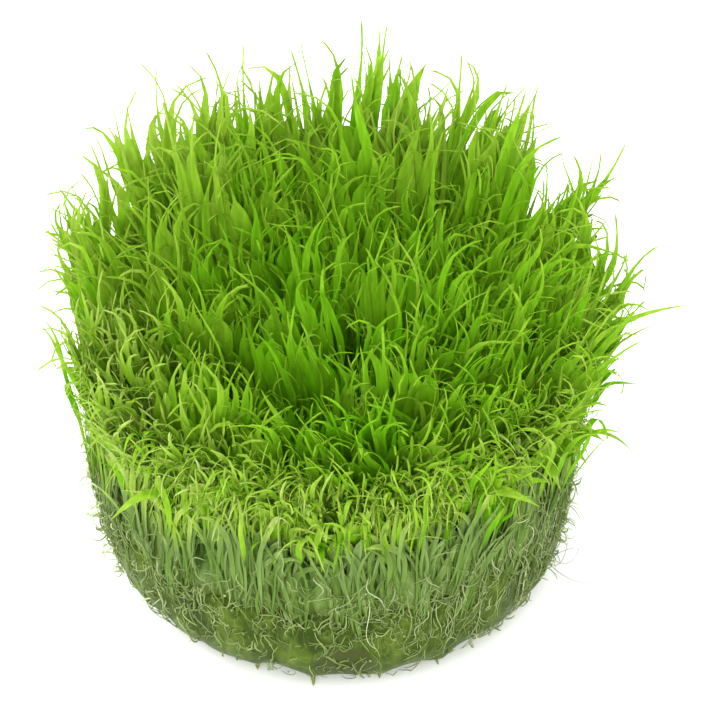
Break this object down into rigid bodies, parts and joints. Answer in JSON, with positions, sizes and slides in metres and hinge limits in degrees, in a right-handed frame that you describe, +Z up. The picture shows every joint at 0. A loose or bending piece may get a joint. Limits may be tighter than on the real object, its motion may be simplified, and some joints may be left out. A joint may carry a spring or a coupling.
{
  "type": "clump of grass-leaved bladderwort",
  "caption": "Round clump of grass-like bladderwort leaves over a felt of pale runners on a plug of culture jelly; rests on its flat underside.",
  "frame": {"origin": "middle of the jelly plug's flat underside", "axes": "+Z up, along the leaves; +Y towards the back, where the leaves are longest; +X to the right as seen from the front"},
  "size_m": [0.0995, 0.0988, 0.0701],
  "materials": {
    "culture_jelly": "soft clear jelly, olive where the plant shows through, smooth and wet",
    "pale_runners": "moist pale threads, matte with small wet glints",
    "green_leaf": "smooth thin leaves, satin, light shows through"
  },
  "bodies": {
    "root": {"jelly_plug": "culture_jelly", "runner_felt": "pale_runners", "tuft_centre": "green_leaf", "tuft_inner_01": "green_leaf", "tuft_inner_02": "green_leaf", "tuft_inner_03": "green_leaf", "tuft_inner_04": "green_leaf", "tuft_inner_05": "green_leaf", "tuft_inner_06": "green_leaf", "tuft_middle_01": "green_leaf", "tuft_middle_02": "green_leaf", "tuft_middle_03": "green_leaf", "tuft_middle_04": "green_leaf", "tuft_middle_05": "green_leaf", "tuft_middle_06": "green_leaf", "tuft_middle_07": "green_leaf", "tuft_middle_08": "green_leaf", "tuft_middle_09": "green_leaf", "tuft_middle_10": "green_leaf", "tuft_middle_11": "green_leaf", "tuft_middle_12": "green_leaf", "tuft_outer_01": "green_leaf", "tuft_outer_02": "green_leaf", "tuft_outer_03": "green_leaf", "tuft_outer_04": "green_leaf", "tuft_outer_05": "green_leaf", "tuft_outer_06": "green_leaf", "tuft_outer_07": "green_leaf", "tuft_outer_08": "green_leaf", "tuft_outer_09": "green_leaf", "tuft_outer_10": "green_leaf", "tuft_outer_11": "green_leaf", "tuft_outer_12": "green_leaf", "tuft_outer_13": "green_leaf", "tuft_outer_14": "green_leaf", "tuft_outer_15": "green_leaf", "tuft_outer_16": "green_leaf", "tuft_outer_17": "green_leaf", "tuft_outer_18": "green_leaf"}
  },
  "joints": []
}
